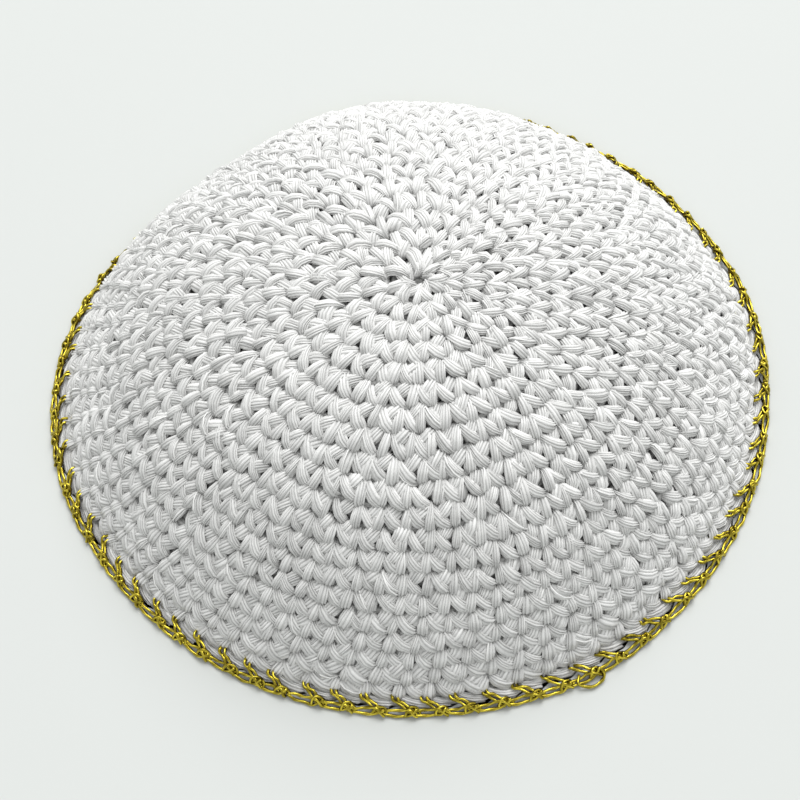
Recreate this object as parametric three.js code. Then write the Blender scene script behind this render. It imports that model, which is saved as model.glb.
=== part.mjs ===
// A crocheted skullcap lying dome up: a hollow crown with a rib for each round of stitches,
// and a ring of chained thread crocheted along its rim.
// Units are millimetres and +Z is up. The rim rests on the plane z = 0.
import * as THREE from 'three';
import { mergeVertices } from 'three/addons/utils/BufferGeometryUtils.js';

// Driving dimensions of the crown
const CROWN_RADIUS = 82;          // outer foot of the crown's wall
const CROWN_HEIGHT = 39.5;        // height of the dome's base curve at the centre
const DOME_POWER = 2.5;           // z falls with this power of the radius
const WALL = 3.6;                 // thickness of the crochet below the ribs
const ROUNDS = 20;                // rounds of stitches from the centre to the rim
const ROUND_SWELL = 0.083;        // how much wider the middle rounds are than the others
const RIB_HEIGHT = 0.7;           // how far a round stands proud of the seam between two rounds
const CENTRE_HOLE_RADIUS = 1.3;   // the starting ring, drawn nearly shut
const FOOT_BEVEL = 0.9;           // rounding of the rim's lower corners
const CROWN_SIDES = 72;           // facets around the crown
const INNER_STEPS = 12;           // steps of the smooth inner face

// Driving dimensions of the edging
const EDGING_RADIUS = 85;         // outer edge of its loops
const EDGING_THICKNESS = 1.1;     // two threads, one over the other
const EDGING_STITCHES = 80;       // one for each stitch of the last round
const KNOT_NECK = 0.7;            // how far the outline draws in between two loops
const ANCHOR_REACH = 2.5;         // how far an anchor climbs the crown's wall
const CLEARANCE = 0.4;            // gap between the crown and the edging

// Soft swells and dents of the cap's side, and tucks that draw its foot in towards the back, as shares of the
// radius. Azimuth 0 is the front, and 90 the right.
const SWELLS = [
  { azimuth: -128, width: 34, amount: 0.02 },
  { azimuth: 178, width: 45, amount: 0.02 },
  { azimuth: -72, width: 14, amount: 0.009 },
  { azimuth: 102, width: 14, amount: 0.012 },
  { azimuth: -141, width: 20, amount: -0.058 },
];
const TUCKS = [
  { azimuth: -127, width: 27, amount: -0.09 },
  { azimuth: 174, width: 46, amount: -0.062 },
];
const TUCK_POWER = 5;             // the tucks fade with this power of the way down from the top

// Sum of some folds at an azimuth in degrees
function foldSum(folds, azimuth) {
  let sum = 0;
  for (const fold of folds) {
    const turn = THREE.MathUtils.euclideanModulo(azimuth - fold.azimuth + 180, 360) - 180;
    sum += fold.amount * Math.exp(-((turn / fold.width) ** 2));
  }
  return sum;
}

// Height of the dome's base curve at a radius
function domeHeight(radius) {
  return CROWN_HEIGHT * (1 - (radius / CROWN_RADIUS) ** DOME_POWER);
}

// The base curve from the centre to the rim, as a polyline that can be read by its length
const CURVE_STEPS = 200;
const baseCurve = new THREE.Path();
for (let i = 0; i <= CURVE_STEPS; i += 1) {
  const radius = CROWN_RADIUS * (i / CURVE_STEPS);
  if (i === 0) baseCurve.moveTo(radius, domeHeight(radius));
  else baseCurve.lineTo(radius, domeHeight(radius));
}
const CURVE_LENGTH = baseCurve.getLength();

// A point of the wall at a share of the base curve's length, moved outward by an offset
function wallPoint(share, offset) {
  const point = baseCurve.getPointAt(share);
  const slope = (DOME_POWER * CROWN_HEIGHT / CROWN_RADIUS) * (point.x / CROWN_RADIUS) ** (DOME_POWER - 1);
  const normal = new THREE.Vector2(slope, 1).normalize();
  return point.addScaledVector(normal, offset);
}

// Share of the base curve where a round ends
function roundEnd(round) {
  const even = round / ROUNDS;
  return even + ROUND_SWELL * even * Math.sin(Math.PI * even);
}

// Outline of half a cut through the crown, closed on itself around the centre hole
function crownProfile() {
  const holeShare = CENTRE_HOLE_RADIUS / CURVE_LENGTH;
  const outline = [wallPoint(holeShare, 0)];
  for (let round = 1; round <= ROUNDS; round += 1) {
    const start = Math.max(roundEnd(round - 1), holeShare);
    const end = roundEnd(round);
    outline.push(wallPoint((start + end) / 2, RIB_HEIGHT));
    if (round < ROUNDS) outline.push(wallPoint(end, 0));
  }
  const innerFoot = CROWN_RADIUS - WALL * Math.SQRT2;
  outline.push(wallPoint(1 - FOOT_BEVEL / CURVE_LENGTH, FOOT_BEVEL / 4));
  outline.push(new THREE.Vector2(CROWN_RADIUS - FOOT_BEVEL, 0));
  outline.push(new THREE.Vector2(innerFoot + FOOT_BEVEL, 0));
  outline.push(new THREE.Vector2(innerFoot, FOOT_BEVEL));
  const lastInner = roundEnd(ROUNDS - 1);
  for (let i = 0; i <= INNER_STEPS; i += 1) {
    const share = THREE.MathUtils.lerp(lastInner, holeShare, i / INNER_STEPS);
    outline.push(wallPoint(share, -WALL));
  }
  outline.push(outline[0].clone());
  return outline;
}

// Applies the swells and tucks
function foldRim(geometry) {
  const position = geometry.getAttribute('position');
  for (let i = 0; i < position.count; i += 1) {
    const x = position.getX(i);
    const y = position.getY(i);
    const azimuth = THREE.MathUtils.radToDeg(Math.atan2(x, -y));
    const share = Math.min(1, Math.hypot(x, y) / CROWN_RADIUS);
    const down = Math.min(1, Math.max(0, 1 - position.getZ(i) / CROWN_HEIGHT));
    const swell = foldSum(SWELLS, azimuth) * share ** 2;
    const tuck = foldSum(TUCKS, azimuth) * down ** TUCK_POWER;
    const scale = 1 + swell + tuck;
    position.setXY(i, x * scale, y * scale);
  }
  geometry.computeVertexNormals();
  return geometry;
}

function crownGeometry() {
  const lathe = new THREE.LatheGeometry(crownProfile().reverse(), CROWN_SIDES);
  lathe.rotateX(Math.PI / 2);
  lathe.deleteAttribute('normal');
  lathe.deleteAttribute('uv');
  return foldRim(mergeVertices(lathe));
}

// One cut through the edging. Lift is 1 where an anchor climbs the wall and 0 between two anchors,
// and belly is 1 in the middle of a loop and 0 at a knot.
function edgingSection(lift, belly) {
  const outer = EDGING_RADIUS - KNOT_NECK * (1 - belly);
  const corner = EDGING_THICKNESS / 2;
  const innerRadius = CROWN_RADIUS + CLEARANCE;
  const low = new THREE.Vector2(innerRadius, EDGING_THICKNESS - 0.3);
  const high = new THREE.Vector2(innerRadius + 0.4, EDGING_THICKNESS + 0.2);
  const tipShare = 1 - ANCHOR_REACH / CURVE_LENGTH;
  const tipLow = wallPoint(tipShare, RIB_HEIGHT + CLEARANCE);
  const tipHigh = wallPoint(tipShare, RIB_HEIGHT + CLEARANCE + corner);
  return [
    new THREE.Vector2(innerRadius, 0),
    new THREE.Vector2(outer - corner, 0),
    new THREE.Vector2(outer, corner),
    new THREE.Vector2(outer - corner, EDGING_THICKNESS),
    high.lerp(tipHigh, lift),
    low.lerp(tipLow, lift),
  ];
}

// A closed ring skinned over the cuts, four for each stitch
function edgingGeometry() {
  const cuts = [
    { lift: 1, belly: 0.5 },
    { lift: 0.35, belly: 1 },
    { lift: 0, belly: 0.7 },
    { lift: 0.35, belly: 0 },
  ];
  const total = EDGING_STITCHES * cuts.length;
  const corners = edgingSection(0, 0).length;
  const points = [];
  const triangles = [];
  for (let i = 0; i < total; i += 1) {
    const angle = (2 * Math.PI * i) / total;
    const { lift, belly } = cuts[i % cuts.length];
    for (const corner of edgingSection(lift, belly)) {
      points.push(corner.x * Math.sin(angle), -corner.x * Math.cos(angle), corner.y);
    }
    const here = i * corners;
    const next = ((i + 1) % total) * corners;
    for (let c = 0; c < corners; c += 1) {
      const d = (c + 1) % corners;
      triangles.push(here + c, next + c, here + d, next + c, next + d, here + d);
    }
  }
  const geometry = new THREE.BufferGeometry();
  geometry.setAttribute('position', new THREE.Float32BufferAttribute(points, 3));
  geometry.setIndex(triangles);
  return foldRim(geometry);
}

const cotton = new THREE.MeshStandardMaterial({ color: 0xeceeec, roughness: 0.92, metalness: 0 });
const goldThread = new THREE.MeshStandardMaterial({ color: 0xb9a43c, roughness: 0.34, metalness: 0.85 });

const crown = new THREE.Mesh(crownGeometry(), cotton);
crown.name = 'crown';

const edging = new THREE.Mesh(edgingGeometry(), goldThread);
edging.name = 'edging';

const skullcap = new THREE.Group();
skullcap.add(crown, edging);

// The origin is the centre of the cap's footprint
const footprint = new THREE.Box3().setFromObject(skullcap).getCenter(new THREE.Vector3());
skullcap.position.set(-footprint.x, -footprint.y, 0);

export default skullcap;
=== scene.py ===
# A crocheted skullcap lying dome up, in white cotton with a round of metallic thread on its rim.
# Sizes are in millimetres until a mesh is made, which turns them into metres.
import math

import bpy
import numpy as np
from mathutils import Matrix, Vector


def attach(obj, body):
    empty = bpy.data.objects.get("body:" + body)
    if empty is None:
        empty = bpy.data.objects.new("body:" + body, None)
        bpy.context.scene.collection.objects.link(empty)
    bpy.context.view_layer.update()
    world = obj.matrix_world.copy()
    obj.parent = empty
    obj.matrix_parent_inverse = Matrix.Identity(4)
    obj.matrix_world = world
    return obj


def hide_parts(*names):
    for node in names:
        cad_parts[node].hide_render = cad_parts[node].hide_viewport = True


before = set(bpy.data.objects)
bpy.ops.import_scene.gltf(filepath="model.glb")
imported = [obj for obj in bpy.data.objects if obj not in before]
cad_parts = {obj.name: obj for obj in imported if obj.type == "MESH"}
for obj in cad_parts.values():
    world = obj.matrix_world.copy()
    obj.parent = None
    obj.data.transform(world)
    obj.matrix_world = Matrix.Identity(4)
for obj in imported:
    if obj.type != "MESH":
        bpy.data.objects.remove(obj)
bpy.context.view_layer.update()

MM = 0.001
SEED = 20
random = np.random.default_rng(SEED)

# Crown, as in the part's source
CROWN_RADIUS = 82.0
CROWN_HEIGHT = 39.5
DOME_POWER = 2.5
ROUNDS = 20
ROUND_SWELL = 0.083
EDGING_RADIUS = 85.0
EDGING_HEIGHT = 1.1

# Swells and dents of the side, and tucks that draw the foot in, as azimuth and width in degrees and share of
# the radius. Azimuth 0 is the front, and 90 the right.
SWELLS = (
    (-128, 34, 0.02),
    (178, 45, 0.02),
    (-72, 14, 0.009),
    (102, 14, 0.012),
    (-141, 20, -0.058),
)
TUCKS = (
    (-127, 27, -0.09),
    (174, 46, -0.062),
)
TUCK_POWER = 5              # the tucks fade with this power of the way down from the top

FLOOR_GAP = 0.05            # no point lies lower

# Stitches
MOST_STITCHES = 80          # stitches in each of the last rounds
STITCHES_PER_ROUND = 5.75   # how many more each of the first rounds has
FIRST_STITCHES = 0.3        # added to them before the stitches of a round are rounded
FIRST_SEAM = 0.42           # the starting ring's edge, in rounds
LAST_SEAM = 19.75           # the last round's lower tips, in rounds
SEAM_AZIMUTH = math.radians(172)
TURN_SCATTER = 0.06         # how unevenly the stitches of a round are spaced, in stitches
LEAN = -0.2                 # how far each round's stitches shift, in stitches
LEAN_WAVE = (0.3, 2.4)      # size in stitches, and phase for each round, of the shift's unevenness
LEAN_WAVE_END = 17          # the first round without it
CENTRE_SHIFT = (1.9, -1.5)  # where the starting ring lies, from the dome's axis, in mm
CENTRE_REACH = 28.0         # the shift fades over this radius
FIRST_CLIMB = 0.7           # how far the first round's seam climbs in one turn, in rounds
LEVEL_FROM = 12             # the spiral becomes level from this round on
LEVEL_OVER = 7              # over so many rounds
UNEVEN_SEAMS = (            # size in rounds, waves in a turn, and phase for each round
    (0.08, 3, 0.5),
    (0.05, 7, -0.8),
)
LAST_EVEN_ROUNDS = 3        # the seams become even over the last rounds
FIRST_EVEN_ROUNDS = 8       # and uneven over the first


def fold_sum(folds, azimuth):
    """Sum of some folds at an azimuth in radians."""
    total = np.zeros_like(azimuth)
    for centre, width, amount in folds:
        turn = (np.degrees(azimuth) - centre + 180) % 360 - 180
        total = total + amount * np.exp(-((turn / width) ** 2))
    return total


def folded(radius, height, azimuth):
    """A radius with the side's swells and the foot's tucks."""
    share = np.minimum(1, radius / CROWN_RADIUS)
    down = np.clip(1 - height / CROWN_HEIGHT, 0, 1)
    return radius * (1 + fold_sum(SWELLS, azimuth) * share**2 + fold_sum(TUCKS, azimuth) * down**TUCK_POWER)


# The dome's base curve, as radius, height and length from the centre
CURVE_POINTS = 801
OUTLINE_POINTS = 721
CURVE_R = np.linspace(0, CROWN_RADIUS, CURVE_POINTS)
CURVE_Z = CROWN_HEIGHT * (1 - (CURVE_R / CROWN_RADIUS) ** DOME_POWER)
CURVE_S = np.concatenate([[0], np.cumsum(np.hypot(np.diff(CURVE_R), np.diff(CURVE_Z)))])
CURVE_LENGTH = CURVE_S[-1]


def distance_at(rounds):
    """Distance along the dome from its centre, for a place counted in rounds."""
    even = np.asarray(rounds) / ROUNDS
    inside = np.minimum(even, 1)
    beyond = np.maximum(even - 1, 0) * (1 - math.pi * ROUND_SWELL)
    return CURVE_LENGTH * (inside + ROUND_SWELL * inside * np.sin(math.pi * inside) + beyond)


def profile_at(distance, lift):
    """Radius and height of a point of the wall, lifted outward by lift."""
    radius = np.interp(distance, CURVE_S, CURVE_R)
    height = np.interp(distance, CURVE_S, CURVE_Z)
    slope = DOME_POWER * CROWN_HEIGHT / CROWN_RADIUS * (radius / CROWN_RADIUS) ** (DOME_POWER - 1)
    steep = np.hypot(slope, 1)
    past = np.maximum(distance - CURVE_LENGTH, 0)
    radius = radius + past / steep + lift * slope / steep
    height = height - past * slope / steep + lift / steep
    return radius, height


def outline_centre():
    """Centre of the edging's outline, which the frame has at its origin."""
    azimuth = np.linspace(-math.pi, math.pi, OUTLINE_POINTS)
    reach = folded(EDGING_RADIUS, EDGING_HEIGHT / 2, azimuth)
    x = reach * np.sin(azimuth)
    y = -reach * np.cos(azimuth)
    return (x.max() + x.min()) / 2, (y.max() + y.min()) / 2


CENTRE_X, CENTRE_Y = outline_centre()


def turned(radius, height, azimuth):
    """Points in the frame for radii and heights at azimuths, folded and above the floor."""
    height = np.maximum(height, FLOOR_GAP)
    reach = folded(radius, height, azimuth)
    near = np.exp(-((radius / CENTRE_REACH) ** 2))
    x = reach * np.sin(azimuth) - CENTRE_X + CENTRE_SHIFT[0] * near
    y = -reach * np.cos(azimuth) - CENTRE_Y + CENTRE_SHIFT[1] * near
    return np.stack(np.broadcast_arrays(x, y, height), axis=-1)


def wall_point(azimuth, rounds, lift):
    return turned(*profile_at(distance_at(rounds), lift), azimuth)


# Camera, at the photo's viewing angle. The rim's centre lies a little right of the frame's middle, and above it.
CAMERA_DISTANCE = 330.5
CAMERA_ELEVATION = math.radians(59.2)
CAMERA_FOCAL_PIXELS = 1381.8
FRAME_PIXELS = 800
RIM_CENTRE_PIXEL = (409.7, 367.4)
SENSOR = 36.0


def make_camera():
    data = bpy.data.cameras.new("camera")
    data.sensor_width = SENSOR
    data.lens = CAMERA_FOCAL_PIXELS / FRAME_PIXELS * SENSOR
    data.clip_start = 0.01
    camera = bpy.data.objects.new("camera", data)
    bpy.context.scene.collection.objects.link(camera)
    rim_centre = Vector((-CENTRE_X, -CENTRE_Y, 0)) * MM
    back = Vector((0, -math.cos(CAMERA_ELEVATION), math.sin(CAMERA_ELEVATION)))
    camera.location = rim_centre + back * CAMERA_DISTANCE * MM
    straight = (-back).to_track_quat("-Z", "Y")
    half = FRAME_PIXELS / 2
    across = (RIM_CENTRE_PIXEL[0] - half) / CAMERA_FOCAL_PIXELS
    down = (RIM_CENTRE_PIXEL[1] - half) / CAMERA_FOCAL_PIXELS
    aside = Vector((0, 0, -1)).rotation_difference(Vector((across, -down, -1)))
    camera.rotation_mode = "QUATERNION"
    camera.rotation_quaternion = straight @ aside.inverted()
    bpy.context.scene.camera = camera


make_camera()


# Meshes from arrays of skins. A skin is a grid of points, rows along a strand and columns around it.
def skin_faces(count, rows, columns):
    """Corner lists and face sizes for count closed skins, each with a face on both ends."""
    point = np.arange(count * rows * columns).reshape(count, rows, columns)
    beside = np.roll(point, -1, axis=2)
    quads = np.stack([point[:, :-1], beside[:, :-1], beside[:, 1:], point[:, 1:]], axis=-1).reshape(-1, 4)
    ends = np.concatenate([point[:, 0, ::-1], point[:, -1, :]])
    corners = np.concatenate([quads.ravel(), ends.ravel()])
    sizes = np.concatenate([np.full(len(quads), 4), np.full(len(ends), columns)])
    return corners, sizes


def add_mesh(name, skins, material):
    """One object from (points, crease, strand, shade, tone) skins.

    crease marks the columns between strands, and strand counts the strands across a skin.
    """
    points, corners, sizes, creases = [], [], [], []
    values = {"strand": [], "shade": [], "tone": []}
    start = 0
    for grid, crease, strand, shade, tone in skins:
        count, rows, columns, _ = grid.shape
        some_corners, some_sizes = skin_faces(count, rows, columns)
        points.append(grid.reshape(-1, 3))
        corners.append(some_corners + start)
        sizes.append(some_sizes)
        creases.append(np.broadcast_to(crease, (count, rows, columns)).ravel())
        for key, value in (("strand", strand), ("shade", shade), ("tone", tone)):
            values[key].append(np.broadcast_to(value, (count, rows, columns)).ravel())
        start += count * rows * columns
    points = np.concatenate(points) * MM
    corners = np.concatenate(corners).astype(np.int32)
    sizes = np.concatenate(sizes)
    mesh = bpy.data.meshes.new(name)
    mesh.vertices.add(len(points))
    mesh.vertices.foreach_set("co", points.astype(np.float32).ravel())
    mesh.loops.add(len(corners))
    mesh.loops.foreach_set("vertex_index", corners)
    mesh.polygons.add(len(sizes))
    mesh.polygons.foreach_set("loop_start", (np.cumsum(sizes) - sizes).astype(np.int32))
    mesh.update(calc_edges=True)
    mesh.polygons.foreach_set("use_smooth", np.ones(len(sizes), bool))
    crease = np.concatenate(creases)
    if crease.any():
        ends = np.zeros(len(mesh.edges) * 2, np.int32)
        mesh.edges.foreach_get("vertices", ends)
        sharp = mesh.attributes.new("sharp_edge", "BOOLEAN", "EDGE")
        sharp.data.foreach_set("value", crease[ends.reshape(-1, 2)].all(axis=1))
    for key, value in values.items():
        layer = mesh.attributes.new(key, "FLOAT", "POINT")
        layer.data.foreach_set("value", np.concatenate(value).astype(np.float32))
    mesh.validate()
    mesh.materials.append(material)
    piece = bpy.data.objects.new(name, mesh)
    bpy.context.scene.collection.objects.link(piece)
    return piece


def smooth_path(points, rows, gather=0.0):
    """Catmull-Rom curves through points, an array of (..., points, values), read at rows places.

    gather moves the places toward both ends.
    """
    points = np.asarray(points, float)
    first = 2 * points[..., :1, :] - points[..., 1:2, :]
    last = 2 * points[..., -1:, :] - points[..., -2:-1, :]
    padded = np.concatenate([first, points, last], axis=-2)
    even = np.linspace(0, 1, rows)
    place = (even - gather * np.sin(2 * math.pi * even) / (2 * math.pi)) * (points.shape[-2] - 1)
    knot = np.minimum(place.astype(int), points.shape[-2] - 2)
    t = (place - knot)[:, None]
    a, b, c, d = (padded[..., knot + i, :] for i in range(4))
    return 0.5 * (2 * b + (c - a) * t + (2 * a - 5 * b + 4 * c - d) * t**2 + (3 * b - a - 3 * c + d) * t**3)


def unit(vectors):
    return vectors / np.maximum(np.linalg.norm(vectors, axis=-1, keepdims=True), 1e-9)


# Materials
# Painted shade: the cotton's colour runs from COTTON_DARK between strands, deep in the fabric and at the seams,
# to COTTON_LIGHT on the strands' crests
COTTON_LIGHT = (0.96, 0.955, 0.945)
COTTON_DARK = (0.17, 0.17, 0.165)
STRAND_WANDER = 0.7             # how far the lines between strands wander, in strands
WANDER_NOISE = 900              # noise scales, for each metre
FUZZ_NOISE = 5200
GOLD_NOISE = 3000
LINE_WIDTH = 1.6                # slope of the painted shade beside a line
LINE_POWER = 0.9
LINE_SHADE = 0.50               # how much lighter a strand is than the painted shade of the line beside it
OWN_SHADE = (0.24, 0.36)        # how much the strands differ, and the least of them
FUZZ_BUMP = 0.25                # share of the fuzz in the cotton's bump
COTTON_BUMP = (0.6, 0.00008)    # strength, and distance in metres
# The thread's colour runs from GOLD_DARK, a brown painted shade, to GOLD_LIGHT on its painted highlights
GOLD_LIGHT = (0.84, 0.70, 0.08)
GOLD_DARK = (0.075, 0.042, 0.002)
GOLD_BUMP = (0.35, 0.00005)


def socket_set(shader, **values):
    for name, value in values.items():
        shader.inputs[name.replace("_", " ")].default_value = value


def attribute(nodes, name):
    node = nodes.new("ShaderNodeAttribute")
    node.attribute_name = name
    return node.outputs["Fac"]


def maths(tree, operation, *values):
    node = tree.nodes.new("ShaderNodeMath")
    node.operation = operation
    for socket, value in zip(node.inputs, values):
        if isinstance(value, (int, float)):
            socket.default_value = value
        else:
            tree.links.new(value, socket)
    return node.outputs[0]


def blend(tree, kind, factor, a, b):
    node = tree.nodes.new("ShaderNodeMix")
    node.data_type = "RGBA"
    node.blend_type = kind
    for socket, value in zip([node.inputs["Factor"], node.inputs["A"], node.inputs["B"]], (factor, a, b)):
        if isinstance(value, bpy.types.NodeSocket):
            tree.links.new(value, socket)
        else:
            socket.default_value = value if isinstance(value, (int, float)) else (*value, 1)
    return node.outputs["Result"]


def noise(tree, scale, detail):
    node = tree.nodes.new("ShaderNodeTexNoise")
    node.inputs["Scale"].default_value = scale
    node.inputs["Detail"].default_value = detail
    return node.outputs["Fac"]


def strand_lines(tree, wander):
    """A ridge, 1 on the crest of each strand and 0 in the valley beside it, and each strand's own tone."""
    strand = attribute(tree.nodes, "strand")
    swing = maths(tree, "SUBTRACT", noise(tree, WANDER_NOISE, 1), 0.5)
    shifted = maths(tree, "MULTIPLY_ADD", swing, wander, strand)
    off = maths(tree, "ABSOLUTE", maths(tree, "SUBTRACT", maths(tree, "FRACT", shifted), 0.5))
    own = tree.nodes.new("ShaderNodeTexWhiteNoise")
    own.noise_dimensions = "1D"
    tree.links.new(maths(tree, "FLOOR", shifted), own.inputs["W"])
    return maths(tree, "SUBTRACT", 1.0, maths(tree, "MULTIPLY", off, 2.0)), own.outputs["Value"]


def add_bump(tree, shader, height, strength, distance):
    bump = tree.nodes.new("ShaderNodeBump")
    bump.inputs["Strength"].default_value = strength
    bump.inputs["Distance"].default_value = distance
    tree.links.new(height, bump.inputs["Height"])
    tree.links.new(bump.outputs["Normal"], shader.inputs["Normal"])


def make_cotton():
    """Satin cotton, with shade painted into its colour between strands and deep in the fabric. It varies by
    stitch.
    """
    material = bpy.data.materials.new("cotton_yarn")
    material.use_nodes = True
    tree = material.node_tree
    shader = tree.nodes["Principled BSDF"]
    socket_set(shader, Roughness=0.36, Sheen_Weight=0.1, Sheen_Roughness=0.4, Specular_IOR_Level=0.5)
    ridge, own = strand_lines(tree, STRAND_WANDER)
    # Painted shade in the valleys between strands, over each strand's own tone
    line = maths(tree, "MINIMUM", maths(tree, "MULTIPLY", ridge, LINE_WIDTH), 1.0)
    line = maths(tree, "POWER", line, LINE_POWER)
    line = maths(tree, "MULTIPLY_ADD", line, LINE_SHADE, maths(tree, "MULTIPLY_ADD", own, *OWN_SHADE))
    depth = maths(tree, "MULTIPLY", attribute(tree.nodes, "shade"), line)
    color = blend(tree, "MIX", depth, COTTON_DARK, COTTON_LIGHT)
    color = blend(tree, "MULTIPLY", 1.0, color, attribute(tree.nodes, "tone"))
    tree.links.new(color, shader.inputs["Base Color"])
    swell = maths(tree, "SQRT", maths(tree, "MAXIMUM", ridge, 0.0))
    height = maths(tree, "MULTIPLY_ADD", noise(tree, FUZZ_NOISE, 3), FUZZ_BUMP, swell)
    add_bump(tree, shader, height, *COTTON_BUMP)
    return material


def make_gold():
    """Plied metallic thread, with a painted highlight along its plies and brown painted shade between them and
    on its shaded side.
    """
    material = bpy.data.materials.new("gold_thread")
    material.use_nodes = True
    tree = material.node_tree
    shader = tree.nodes["Principled BSDF"]
    socket_set(shader, Metallic=1.0, Roughness=0.22)
    color = blend(tree, "MIX", attribute(tree.nodes, "shade"), GOLD_DARK, GOLD_LIGHT)
    color = blend(tree, "MULTIPLY", 1.0, color, attribute(tree.nodes, "tone"))
    tree.links.new(color, shader.inputs["Base Color"])
    add_bump(tree, shader, noise(tree, GOLD_NOISE, 2), *GOLD_BUMP)
    return material


cotton = make_cotton()
gold = make_gold()


# Lobes of yarn. A lobe is the stretch of a stitch's yarn that shows, a bundle of fine strands that
# dives under its neighbours at both ends. Its spine has a row for each place: how far right of the
# stitch, in stitches; how far down the round, in rounds; lift; half width; and thickness, in mm.
LEFT_LEG = (
    (0.03, -0.09, -1.5, 0.60, 0.70),
    (0.01, 0.13, -0.38, 1.06, 0.93),
    (-0.05, 0.48, -0.05, 1.32, 1.02),
    (-0.11, 0.85, -0.28, 1.26, 1.00),
    (-0.13, 1.06, -1.60, 0.70, 0.65),
)
RIGHT_LEG = (
    (0.08, -0.08, -1.5, 0.66, 0.70),
    (0.16, 0.16, -0.38, 1.14, 0.90),
    (0.35, 0.50, -0.14, 1.42, 0.96),
    (0.62, 0.80, -0.34, 1.36, 0.94),
    (0.90, 0.92, -1.55, 0.80, 0.65),
)
BAR = (
    (0.28, 0.64, -1.6, 0.80, 0.65),
    (0.41, 0.44, -0.55, 1.45, 0.88),
    (0.56, 0.22, -0.18, 1.78, 0.95),
    (0.69, 0.02, -0.28, 1.86, 0.95),
    (0.80, -0.17, -1.50, 1.65, 0.70),
)
RIM_BAR = (
    (-0.20, 0.86, -1.20, 0.90, 0.85),
    (0.08, 1.14, -0.15, 1.20, 0.98),
    (0.42, 1.34, 0.10, 1.35, 1.00),
    (0.78, 1.42, 0.00, 1.30, 0.98),
    (1.16, 1.34, -1.00, 0.95, 0.85),
)
INNER_LEFT = (
    (-0.34, 0.02, -2.3, 0.70, 0.60),
    (-0.22, 0.30, -3.0, 1.05, 0.85),
    (-0.08, 0.70, -3.0, 1.05, 0.85),
    (0.02, 1.04, -2.3, 0.70, 0.60),
)
INNER_RIGHT = (
    (0.42, 0.02, -2.3, 0.70, 0.60),
    (0.30, 0.30, -3.0, 1.05, 0.85),
    (0.16, 0.70, -3.0, 1.05, 0.85),
    (0.06, 1.04, -2.3, 0.70, 0.60),
)
SPINE_GATHER = 0.45                 # a lobe has more rows near its ends
SPINE_SCATTER = (0.045, 0.045, 0.12, 0.11, 0.09)     # how far a whole lobe strays from its spine
SPINE_END_SCATTER = (0.05, 0.035, 0.10, 0.09, 0.07)  # and how far its two ends stray apart
SPINE_BOW = 0.05                    # how far its middle bends aside, in stitches
PITCH = 5.6                         # the pitch of stitches that the spines' widths are meant for
NARROWING = (0.84, 1.12)            # the least and most that the widths follow another pitch
THINNEST = 0.35                     # least half width or thickness
STRAND_SPREAD = math.radians(104)   # the strands cover this much of a lobe's section on each side
STRAND_CREST = 0.08                 # how far a strand stands out of the lobe's section
STRAND_VALLEY = 0.20                # and how deep the line between two strands is cut
STRAND_SCATTER = 0.08               # how much the strands of a lobe differ in that
STRAND_WAVE = 0.06                  # how much each strand swells and thins along its way
STRAND_WAVE_TURN = 3.0              # turn of that wave from a lobe's middle to its end
WAVE_PHASES = 6.28                  # the waves start anywhere in this range
STRAND_END_SCATTER = 0.10           # how much more they differ at the lobe's ends
STRAND_NUMBERS = 5000               # each lobe's strands are numbered on from a random one of these
CREST_SCATTER = 0.26                # how unevenly the strands are spaced, in strands
CREST_TURN = 0.26                   # how much each strand wanders from one end to the other
LOBE_TURN = 0.50                    # and how much they all do
OUTER_VALLEY = 1.04                 # where the strands end, in spreads
DEEPEST = -1.7                      # the lift at which the yarn's painted shade is darkest
RIM_DEEPEST = -4.0                  # and the same for the bar round the rim, so that it has less painted shade
SHALLOWEST = 0.1                    # the lift at which it is lightest, with no painted shade
SHADE_POWER = 0.6
SEAM_SHADE = 0.28                   # how much darker the painted shade makes the yarn at the seam between two rounds
SEAM_WIDTH = 0.11                   # in rounds
LOBE_TONE = 0.025                   # how much the lobes differ in lightness


def spiral(round_number):
    """How far a round's seam climbs in one turn, in rounds. The last rounds lie level."""
    if round_number < 2:
        return FIRST_CLIMB * round_number
    level = np.clip((round_number - LEVEL_FROM) / LEVEL_OVER, 0, 1)
    return 1 - level * level * (3 - 2 * level)


def seam_place(round_number, turn):
    """Where a round ends at a share of its turn, in rounds, with the unevenness of work done by hand."""
    scale = (LAST_SEAM - FIRST_SEAM) / ROUNDS
    angle = 2 * math.pi * turn
    uneven = sum(size * np.sin(waves * angle + phase * round_number) for size, waves, phase in UNEVEN_SEAMS)
    fade = np.clip((ROUNDS - round_number) / LAST_EVEN_ROUNDS, 0, 1) * min(1, round_number / FIRST_EVEN_ROUNDS)
    return FIRST_SEAM + scale * (round_number + spiral(round_number) * (turn - 0.5) + fade * uneven)


def scatter(*shape):
    return random.normal(size=shape)


class Round:
    """Where the stitches of one round are: azimuth, top and bottom in rounds, pitch and height in mm."""

    def __init__(self, number):
        self.count = min(MOST_STITCHES, round(STITCHES_PER_ROUND * number + FIRST_STITCHES))
        turn = (np.arange(self.count) + 0.5 + TURN_SCATTER * scatter(self.count)) / self.count
        lean = (1 - turn) * self.lean(number) + turn * self.lean(number + 1)
        turn = turn - lean / self.count
        self.azimuth = SEAM_AZIMUTH - 2 * math.pi * turn
        self.top = seam_place(number - 1, turn)
        self.bottom = seam_place(number, turn)
        middle = profile_at(distance_at((self.top + self.bottom) / 2), 0)[0]
        self.pitch = 2 * math.pi * middle / self.count
        self.height = distance_at(self.bottom) - distance_at(self.top)

    @staticmethod
    def lean(number):
        """How far the stitches of a round are shifted against the first round's, in stitches."""
        size, phase = LEAN_WAVE
        wave = size * math.sin(phase * number) if number < LEAN_WAVE_END else 0
        return LEAN * number + wave


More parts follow.
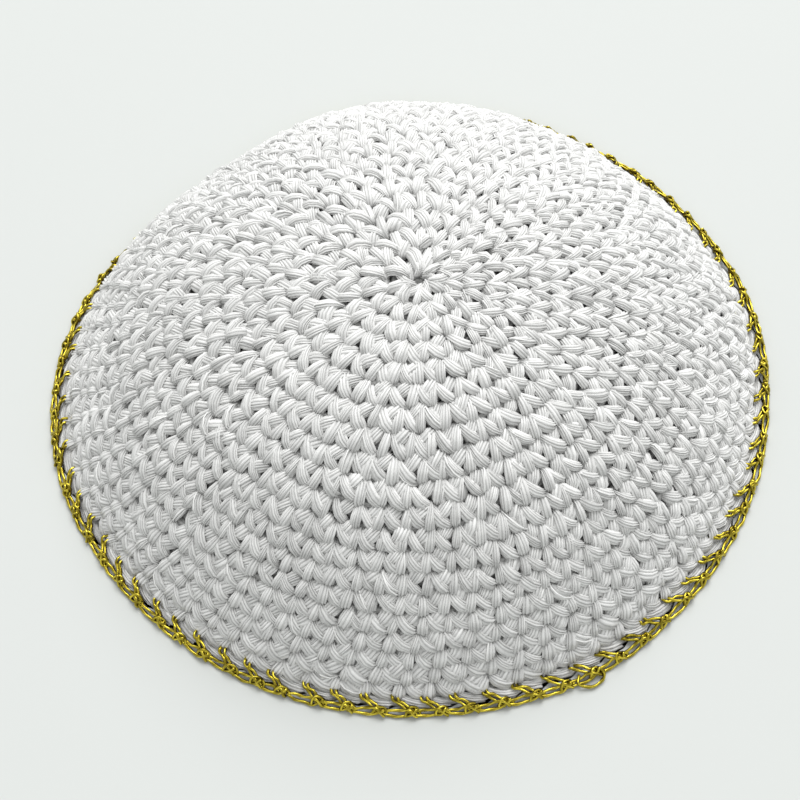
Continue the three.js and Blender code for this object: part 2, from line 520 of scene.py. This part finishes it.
def make_lobes(stitches, spine, strands, rows, up=1.0, deepest=DEEPEST, stray=0.0):
    """Skins of one kind of lobe on all stitches of a round."""
    count = stitches.count
    path = smooth_path(spine, rows, SPINE_GATHER)[None].repeat(count, axis=0)
    along = np.linspace(-1, 1, rows)[None, :, None]
    path = path + scatter(count, 1, 5) * SPINE_SCATTER
    path = path + scatter(count, 1, 5) * SPINE_END_SCATTER * along
    path[..., 0] += scatter(count, 1) * SPINE_BOW * (1 - along[..., 0] ** 2)
    narrow = np.clip(stitches.pitch / PITCH, *NARROWING)[:, None]
    across = path[..., 0] * stitches.pitch[:, None]
    down = path[..., 1] * stitches.height[:, None]
    lift = path[..., 2]
    half_width = np.maximum(path[..., 3] * narrow, THINNEST)
    thickness = np.maximum(path[..., 4], THINNEST)
    centre = np.stack([across, down, lift], axis=-1)
    tangent = unit(np.gradient(centre, axis=1))
    side = unit(np.stack([-tangent[..., 1], tangent[..., 0], np.zeros_like(across)], axis=-1))
    top = np.cross(tangent, side)
    top = top * np.sign(top[..., 2:] + 1e-9) * up

    edges = np.linspace(-1, 1, strands + 1)
    spacing = 2 / strands
    crest = (edges[1:] + edges[:-1]) / 2 + scatter(count, 1, strands) * spacing * CREST_SCATTER
    crest = crest + scatter(count, 1, strands) * spacing * CREST_TURN * along
    crest = crest + scatter(count, 1, 1) * spacing * LOBE_TURN * along
    outer_valley = np.full_like(crest[..., :1], OUTER_VALLEY)
    valley = np.concatenate([-outer_valley, (crest[..., 1:] + crest[..., :-1]) / 2, outer_valley], axis=-1)
    wave = STRAND_WAVE_TURN * along + random.uniform(0, WAVE_PHASES, size=(count, 1, strands))
    crest_out = STRAND_CREST + scatter(count, 1, strands) * STRAND_SCATTER + STRAND_WAVE * np.cos(wave)
    crest_out = crest_out + scatter(count, 1, strands) * STRAND_END_SCATTER * along**2
    beside = np.minimum(crest_out[..., 1:], crest_out[..., :-1])
    valley_out = np.concatenate([crest_out[..., :1], beside, crest_out[..., -1:]], axis=-1) - (
        STRAND_CREST + STRAND_VALLEY)
    columns = 2 * strands + 1
    angle = np.empty((count, rows, columns))
    out = np.empty((count, rows, columns))
    angle[..., 0::2] = valley * STRAND_SPREAD
    angle[..., 1::2] = crest * STRAND_SPREAD
    out[..., 0::2] = valley_out
    out[..., 1::2] = crest_out
    wide = (half_width[..., None] + out) * np.sin(angle)
    high = (thickness[..., None] + out) * np.cos(angle)
    local = centre[:, :, None] + side[:, :, None] * wide[..., None] + top[:, :, None] * high[..., None]

    points = on_wall(stitches, local)
    crease = np.arange(columns) % 2 == 0
    strand = np.arange(columns) / 2 + random.integers(0, STRAND_NUMBERS, size=(count, 1, 1))
    # Painted shade: darker the deeper the yarn lies in the fabric, and near the seams between rounds
    depth = (local[..., 2] * up - deepest) / (SHALLOWEST - deepest)
    share = local[..., 1] / stitches.height[:, None, None]
    seam = np.exp(-((share / SEAM_WIDTH) ** 2)) + np.exp(-(((share - 1) / SEAM_WIDTH) ** 2))
    shade = np.clip(depth, 0, 1) ** SHADE_POWER * (1 - SEAM_SHADE * seam)
    tone = 1 + scatter(count, 1, 1) * LOBE_TONE
    if up * local_handed(tangent, side, top) < 0:
        points, crease = points[:, :, ::-1], crease[::-1]
        strand, shade = strand[:, :, ::-1], shade[:, :, ::-1]
    skins = [(points, crease, strand, shade, tone)]
    if stray:
        some = random.random(count) < stray
        lean = scatter(count, 1, 1) * STRAY_LEAN + scatter(count, 1, 1) * STRAY_TURN * along
        lean = lean * STRAND_SPREAD
        normal = side * np.sin(lean) + top * np.cos(lean)
        proud = STRAND_CREST - STRAY_SINK
        run = centre + side * (half_width[..., None] + proud) * np.sin(lean)
        run = run + top * (thickness[..., None] + proud) * np.cos(lean)
        skins.append(stray_skin(stitches, run, normal, tangent, some))
    return skins


# Stray strands
STRAY_RADIUS = 0.15
STRAY_SIDES = 5
STRAY_LEAN = 0.22           # how far it lies from the lobe's crest, in spreads
STRAY_TURN = 0.30           # and how far it crosses over from one end to the other
STRAY_SINK = 0.05           # how far its middle lies below the crests
STRAY_TONE = (1.03, 0.03)   # usual value, and scatter


def stray_skin(stitches, run, normal, tangent, some):
    """A strand that lies loose over the others of a lobe."""
    angle = np.linspace(0, 2 * math.pi, STRAY_SIDES + 1)[:-1][None, None, :, None]
    beside = unit(np.cross(tangent, normal))
    local = run[:, :, None] + STRAY_RADIUS * (
        np.cos(angle) * normal[:, :, None] + np.sin(angle) * beside[:, :, None])
    points = on_wall(stitches, local)[some]
    tone = STRAY_TONE[0] + scatter(len(points), 1, 1) * STRAY_TONE[1]
    return points, np.zeros(STRAY_SIDES, bool), 0.5, 1.0, tone


INNERMOST_PLACE = 0.24      # no yarn lies further in, in rounds
LEAST_RADIUS = 2.2          # least radius for turning a distance across into an azimuth


def on_wall(stitches, local):
    """Frame points for local ones: mm to the right of a stitch, mm down its round, and lift."""
    rounds = stitches.top[:, None, None] + local[..., 1] / stitches.height[:, None, None] * (
        stitches.bottom - stitches.top)[:, None, None]
    rounds = np.maximum(rounds, INNERMOST_PLACE)
    radius = np.maximum(profile_at(distance_at(rounds), 0)[0], LEAST_RADIUS)
    azimuth = stitches.azimuth[:, None, None] + local[..., 0] / radius
    return wall_point(azimuth, rounds, local[..., 2])


def local_handed(tangent, side, top):
    """1 where side, top and tangent turn the way that makes a skin face outward."""
    return float(np.sign(np.einsum("ijk,ijk->ij", np.cross(side, top), tangent).mean()))


OUTER_LOBES = (             # spine, strands, rows, and the share of lobes with a stray strand
    (BAR, 8, 5, 0.0),
    (LEFT_LEG, 6, 7, 0.06),
    (RIGHT_LEG, 7, 8, 0.06),
)
RIM_STRANDS, RIM_ROWS = 7, 7
INNER_STRANDS, INNER_ROWS = 3, 4


def build_rounds(name, numbers):
    """The outer face of some rounds. The last of all also has a bar round its foot."""
    skins = []
    for number in numbers:
        stitches = Round(number)
        for spine, strands, rows, stray in OUTER_LOBES:
            skins += make_lobes(stitches, spine, strands, rows, stray=stray)
    if ROUNDS in numbers:
        skins += make_lobes(Round(ROUNDS), RIM_BAR, RIM_STRANDS, RIM_ROWS, deepest=RIM_DEEPEST)
    return add_mesh(name, skins, cotton)


crown_pieces = [
    build_rounds("crown_top", range(1, 10)),
    build_rounds("crown_shoulder", range(10, 14)),
    build_rounds("crown_side", range(14, 18)),
    build_rounds("crown_rim", range(18, ROUNDS + 1)),
]


def build_inside():
    """The inner face, where each stitch shows the two legs of a V."""
    skins = []
    for number in range(1, ROUNDS + 1):
        stitches = Round(number)
        for spine in (INNER_LEFT, INNER_RIGHT):
            skins += make_lobes(stitches, spine, INNER_STRANDS, INNER_ROWS, up=-1.0)
    return add_mesh("crown_inside", skins, cotton)


# Rings of yarn inside the fabric
CORE_RADIUS = 1.10
CORE_SIDES = 8
# Painted shade on the rings inside the fabric, which are darker than the lobes
CORE_SHADE = 0.5
CORE_TURN = (-0.75, 1.25)   # where the sides begin and end, in half turns
FEWEST_CORE_STITCHES = 16   # a ring has a row for every two thirds of a stitch, and of so many at least
# How far before a round's end a ring runs, in rounds, and its lift
SEAM_CORE = (0.05, -1.65)
MIDDLE_CORE = (0.5, -2.3)
START_CORE = (0.14, -2.7)
FOOT_CORE = (-0.25, -0.4)


def build_cores():
    """The yarn inside the fabric: rings at the end and in the middle of each round, one in the starting
    ring and one in the foot. They close the gaps between the lobes from behind."""
    numbers = range(1, ROUNDS + 1)
    rings = [(number, *SEAM_CORE) for number in numbers] + [(number, *MIDDLE_CORE) for number in numbers]
    rings += [(0, *START_CORE), (ROUNDS, *FOOT_CORE)]
    skins = []
    for number, back, lift in rings:
        steps = 3 * max(FEWEST_CORE_STITCHES, round(STITCHES_PER_ROUND * number)) // 2
        turn = np.linspace(0, 1, steps + 1)
        azimuth = (SEAM_AZIMUTH - 2 * math.pi * turn)[:, None]
        angle = np.linspace(*CORE_TURN, CORE_SIDES + 1)[:-1][None] * math.pi
        place = seam_place(number, turn)[:, None] - back
        distance = distance_at(place) + CORE_RADIUS * np.cos(angle)
        radius, height = profile_at(distance, lift + CORE_RADIUS * np.sin(angle))
        points = turned(radius, height, azimuth)[None]
        skins.append((points, np.zeros(CORE_SIDES, bool), np.arange(CORE_SIDES), CORE_SHADE, 1.0))
    return add_mesh("crown_cores", skins, cotton)


crown_pieces += [build_inside(), build_cores()]
for piece in crown_pieces:
    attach(piece, "root")
    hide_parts("crown")


# Metallic edging. Each path has a row for each place: how far right of the anchor, how far out from
# the crown's foot, and lift, in mm.
THREAD_RADIUS = 0.35
THREAD_SIDES = 6          # sides of a thread
THREAD_FLUTE = 0.13       # share by which the two plies stand out
THREAD_TURN = 6.5         # length of one turn of the plies
THREAD_STEP = 0.32        # length between two rows of a thread
ANCHOR_LEG = (
    (-0.6, -2.6, -1.5),
    (-0.3, -1.9, 0.25),
    (0.7, -0.7, 0.60),
    (1.7, 0.6, 0.75),
    (2.7, 1.7, 0.65),
    (3.6, 2.7, 0.10),
)
ANCHOR_SECOND_LEG = (
    (0.5, -2.7, -1.5),
    (0.85, -2.0, 0.30),
    (1.85, -0.8, 0.70),
    (2.85, 0.5, 0.90),
    (3.85, 1.55, 0.80),
    (4.8, 2.5, 0.10),
)
CHAIN_STRAIGHT = (
    (-3.0, 2.1, 0.35),
    (-1.5, 1.8, 0.35),
    (0.4, 1.7, 0.40),
    (2.0, 1.6, 0.80),
    (3.3, 2.0, 1.30),
    (4.3, 2.9, 0.60),
    (4.8, 3.1, 0.00),
)
CHAIN_BOW = (
    (-2.7, 2.5, 0.20),
    (-1.2, 2.8, -0.05),
    (0.6, 2.95, -0.15),
    (2.4, 2.95, -0.05),
    (3.6, 2.7, 0.55),
    (4.5, 2.0, 1.25),
    (4.5, 1.3, 0.80),
    (3.6, 1.0, 0.30),
)
KNOT_WRAP = (
    (2.3, 3.0, -0.10),
    (2.5, 2.2, 0.95),
    (3.2, 1.3, 1.40),
    (4.3, 1.1, 0.95),
    (5.2, 1.8, 0.30),
    (5.3, 2.6, 0.00),
)
LOOSE_LOOP = (
    (-1.2, 0.9, 0.3),
    (-2.2, 2.6, 0.7),
    (-1.6, 4.0, 0.3),
    (0.4, 5.1, 0.0),
    (2.6, 4.7, 0.1),
    (3.6, 3.2, 0.6),
    (2.9, 1.4, 1.0),
    (1.6, 0.6, 0.7),
)
LOOSE_TAIL = (
    (-1.0, 1.6, 0.6),
    (0.4, 2.6, 1.2),
    (0.9, 3.0, 0.3),
    (-0.2, 2.8, 0.0),
    (-0.5, 2.0, 0.9),
    (0.3, 1.4, 1.7),
    (0.7, 0.4, 1.9),
)
RAISED_LOOP = (
    (-1.6, 1.5, 0.2),
    (-1.2, 0.6, 1.4),
    (0.2, 0.3, 2.1),
    (1.6, 1.0, 1.5),
    (2.2, 2.2, 0.3),
)
LOOSE_LOOP_AZIMUTHS = (26.0,)      # in degrees, as below
LOOSE_TAIL_AZIMUTHS = (87.5,)
RAISED_LOOP_AZIMUTHS = (-73.0, -78.5)
EDGING_WALL = (-4.0, -3.0, -2.0, -1.0)   # where the edging lies on the wall, in mm from the foot
EDGING_WALL_LIFT = 0.75                  # how far it stands off the wall there
EDGING_FOOT = (                    # how far out, radius beyond the crown's, and height
    (-0.3, 0.15, 1.05),
    (0.6, 0.75, 0.72),
    (1.5, 1.45, 0.55),
    (8.0, 6.5, 0.55),
)
EDGING_TILT = ((-1.5, 0.8), (0.72, 0.0))   # how far the lift leans outward, by how far out it is
EDGING_DRAWN_IN = (                # azimuth, width and mm; below 0 it is drawn out
    (-140, 28, 2.2),
    (166, 24, 1.8),
    (27, 13, -1.2),
    (10, 60, -0.5),
)
ANCHOR_SHIFT = -0.17               # how far the edging lies right of the stitches, in stitches
THREAD_CLEARANCE = 0.02            # gap to the floor
THREAD_FACES_UP = 0.8              # the height of the outward direction that the sections turn to
THREAD_SHADE = (0.16, 0.50, 0.38)  # painted light and shade: usual value, and how much the light side and the plies add
THREAD_TONE = 0.13


def edging_profile(out, lift):
    """Radius and height of the edging: over the wall above the crown's foot, and flat beyond it."""
    reach, radius_beyond, foot_height = np.array(EDGING_FOOT).T
    wall_radius, wall_height = profile_at(CURVE_LENGTH + np.array(EDGING_WALL), EDGING_WALL_LIFT)
    reach = np.concatenate([EDGING_WALL, reach])
    radius = np.interp(out, reach, np.concatenate([wall_radius, CROWN_RADIUS + radius_beyond]))
    height = np.interp(out, reach, np.concatenate([wall_height, foot_height]))
    tilt = np.interp(out, *EDGING_TILT)
    return radius + lift * tilt, height + lift * np.sqrt(1 - tilt**2)


last_round = Round(ROUNDS)
anchor_azimuths = last_round.azimuth + ANCHOR_SHIFT * last_round.pitch / CROWN_RADIUS


def make_threads(path, spread, starts=anchor_azimuths):
    """Skins of one kind of thread from some azimuths, as a rule those of all the edging's anchors."""
    count = len(starts)
    rough = np.asarray(path, float)[None] + random.normal(size=(count, len(path), 3)) * spread
    length = np.linalg.norm(np.diff(np.asarray(path), axis=0), axis=1).sum()
    rows = int(length / THREAD_STEP) + 2
    local = smooth_path(rough, rows)
    azimuth = starts[:, None] + local[..., 0] / CROWN_RADIUS
    drawn = fold_sum(EDGING_DRAWN_IN, azimuth)
    radius, height = edging_profile(local[..., 1] - drawn, local[..., 2])
    lowest = THREAD_RADIUS * (1 + THREAD_FLUTE) + THREAD_CLEARANCE
    centre = turned(radius, np.maximum(height, lowest), azimuth)
    tangent = unit(np.gradient(centre, axis=1))
    away = unit(np.stack([np.sin(azimuth), -np.cos(azimuth), np.full_like(azimuth, THREAD_FACES_UP)], axis=-1))
    side = unit(np.cross(tangent, away))
    top = np.cross(side, tangent)
    step = np.linalg.norm(np.diff(centre, axis=1), axis=-1)
    run = np.concatenate([np.zeros((count, 1)), np.cumsum(step, axis=1)], axis=1)
    phase = random.uniform(0, 2 * math.pi, size=(count, 1))
    angle = np.linspace(0, 2 * math.pi, THREAD_SIDES + 1)[:-1][None, None]
    twist = (2 * math.pi * run / THREAD_TURN + phase)[..., None]
    reach = THREAD_RADIUS * (1 + THREAD_FLUTE * np.cos(2 * angle))
    wide = reach * np.cos(angle + twist)
    high = reach * np.sin(angle + twist)
    points = centre[:, :, None] + side[:, :, None] * wide[..., None] + top[:, :, None] * high[..., None]
    # Painted light and shade: lighter on the side that faces out and up and on the plies' crests, brown between
    # the plies
    usual, light_side, plies = THREAD_SHADE
    shade = np.clip(usual + light_side * np.sin(angle + twist) + plies * np.cos(2 * angle), 0, 1)
    tone = 1 + scatter(count, 1, 1) * THREAD_TONE
    # turned round, so that the faces look outward
    return points[:, :, ::-1], np.zeros(THREAD_SIDES, bool), 0.5, shade[:, :, ::-1], tone


edging_pieces = [
    add_mesh("edging_anchors", [
        make_threads(ANCHOR_LEG, 0.10),
        make_threads(ANCHOR_SECOND_LEG, 0.10),
    ], gold),
    add_mesh("edging_chain", [
        make_threads(CHAIN_STRAIGHT, 0.10),
        make_threads(CHAIN_BOW, 0.12),
        make_threads(KNOT_WRAP, 0.10),
        make_threads(LOOSE_LOOP, 0.0, np.radians(LOOSE_LOOP_AZIMUTHS)),
        make_threads(LOOSE_TAIL, 0.0, np.radians(LOOSE_TAIL_AZIMUTHS)),
        make_threads(RAISED_LOOP, 0.25, np.radians(RAISED_LOOP_AZIMUTHS)),
    ], gold),
]
for piece in edging_pieces:
    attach(piece, "root")
    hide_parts("edging")


# Floor and light, in metres
FLOOR_REACH = 4.0
FLOOR_COLOR = (0.635, 0.652, 0.639, 1)
WINDOW_DIRECTION = (0.14, 0.64, 0.76)
WINDOW_DISTANCE = 5.0
WINDOW_SIZE = 4.6
WINDOW_POWER = 262.0
STUDIO_COLOR = (0.98, 1.0, 0.985, 1)
STUDIO_STRENGTH = 0.63


def make_floor():
    mesh = bpy.data.meshes.new("floor")
    reach = FLOOR_REACH
    mesh.from_pydata([(-reach, -reach, 0), (reach, -reach, 0), (reach, reach, 0), (-reach, reach, 0)],
                     [], [(0, 1, 2, 3)])
    floor = bpy.data.objects.new("floor", mesh)
    bpy.context.scene.collection.objects.link(floor)
    material = bpy.data.materials.new("pale_board")
    material.use_nodes = True
    socket_set(material.node_tree.nodes["Principled BSDF"], Base_Color=FLOOR_COLOR,
               Roughness=0.7, Specular_IOR_Level=0.2)
    mesh.materials.append(material)


def make_window():
    data = bpy.data.lights.new("window", "AREA")
    data.shape = "DISK"
    data.size = WINDOW_SIZE
    data.energy = WINDOW_POWER
    lamp = bpy.data.objects.new("window", data)
    direction = Vector(WINDOW_DIRECTION)
    lamp.location = direction.normalized() * WINDOW_DISTANCE
    lamp.rotation_euler = direction.to_track_quat("Z", "Y").to_euler()
    bpy.context.scene.collection.objects.link(lamp)


def make_studio():
    world = bpy.data.worlds.new("studio")
    world.use_nodes = True
    socket_set(world.node_tree.nodes["Background"], Color=STUDIO_COLOR, Strength=STUDIO_STRENGTH)
    bpy.context.scene.world = world


make_floor()
make_window()
make_studio()
bpy.context.scene.view_settings.view_transform = "Standard"
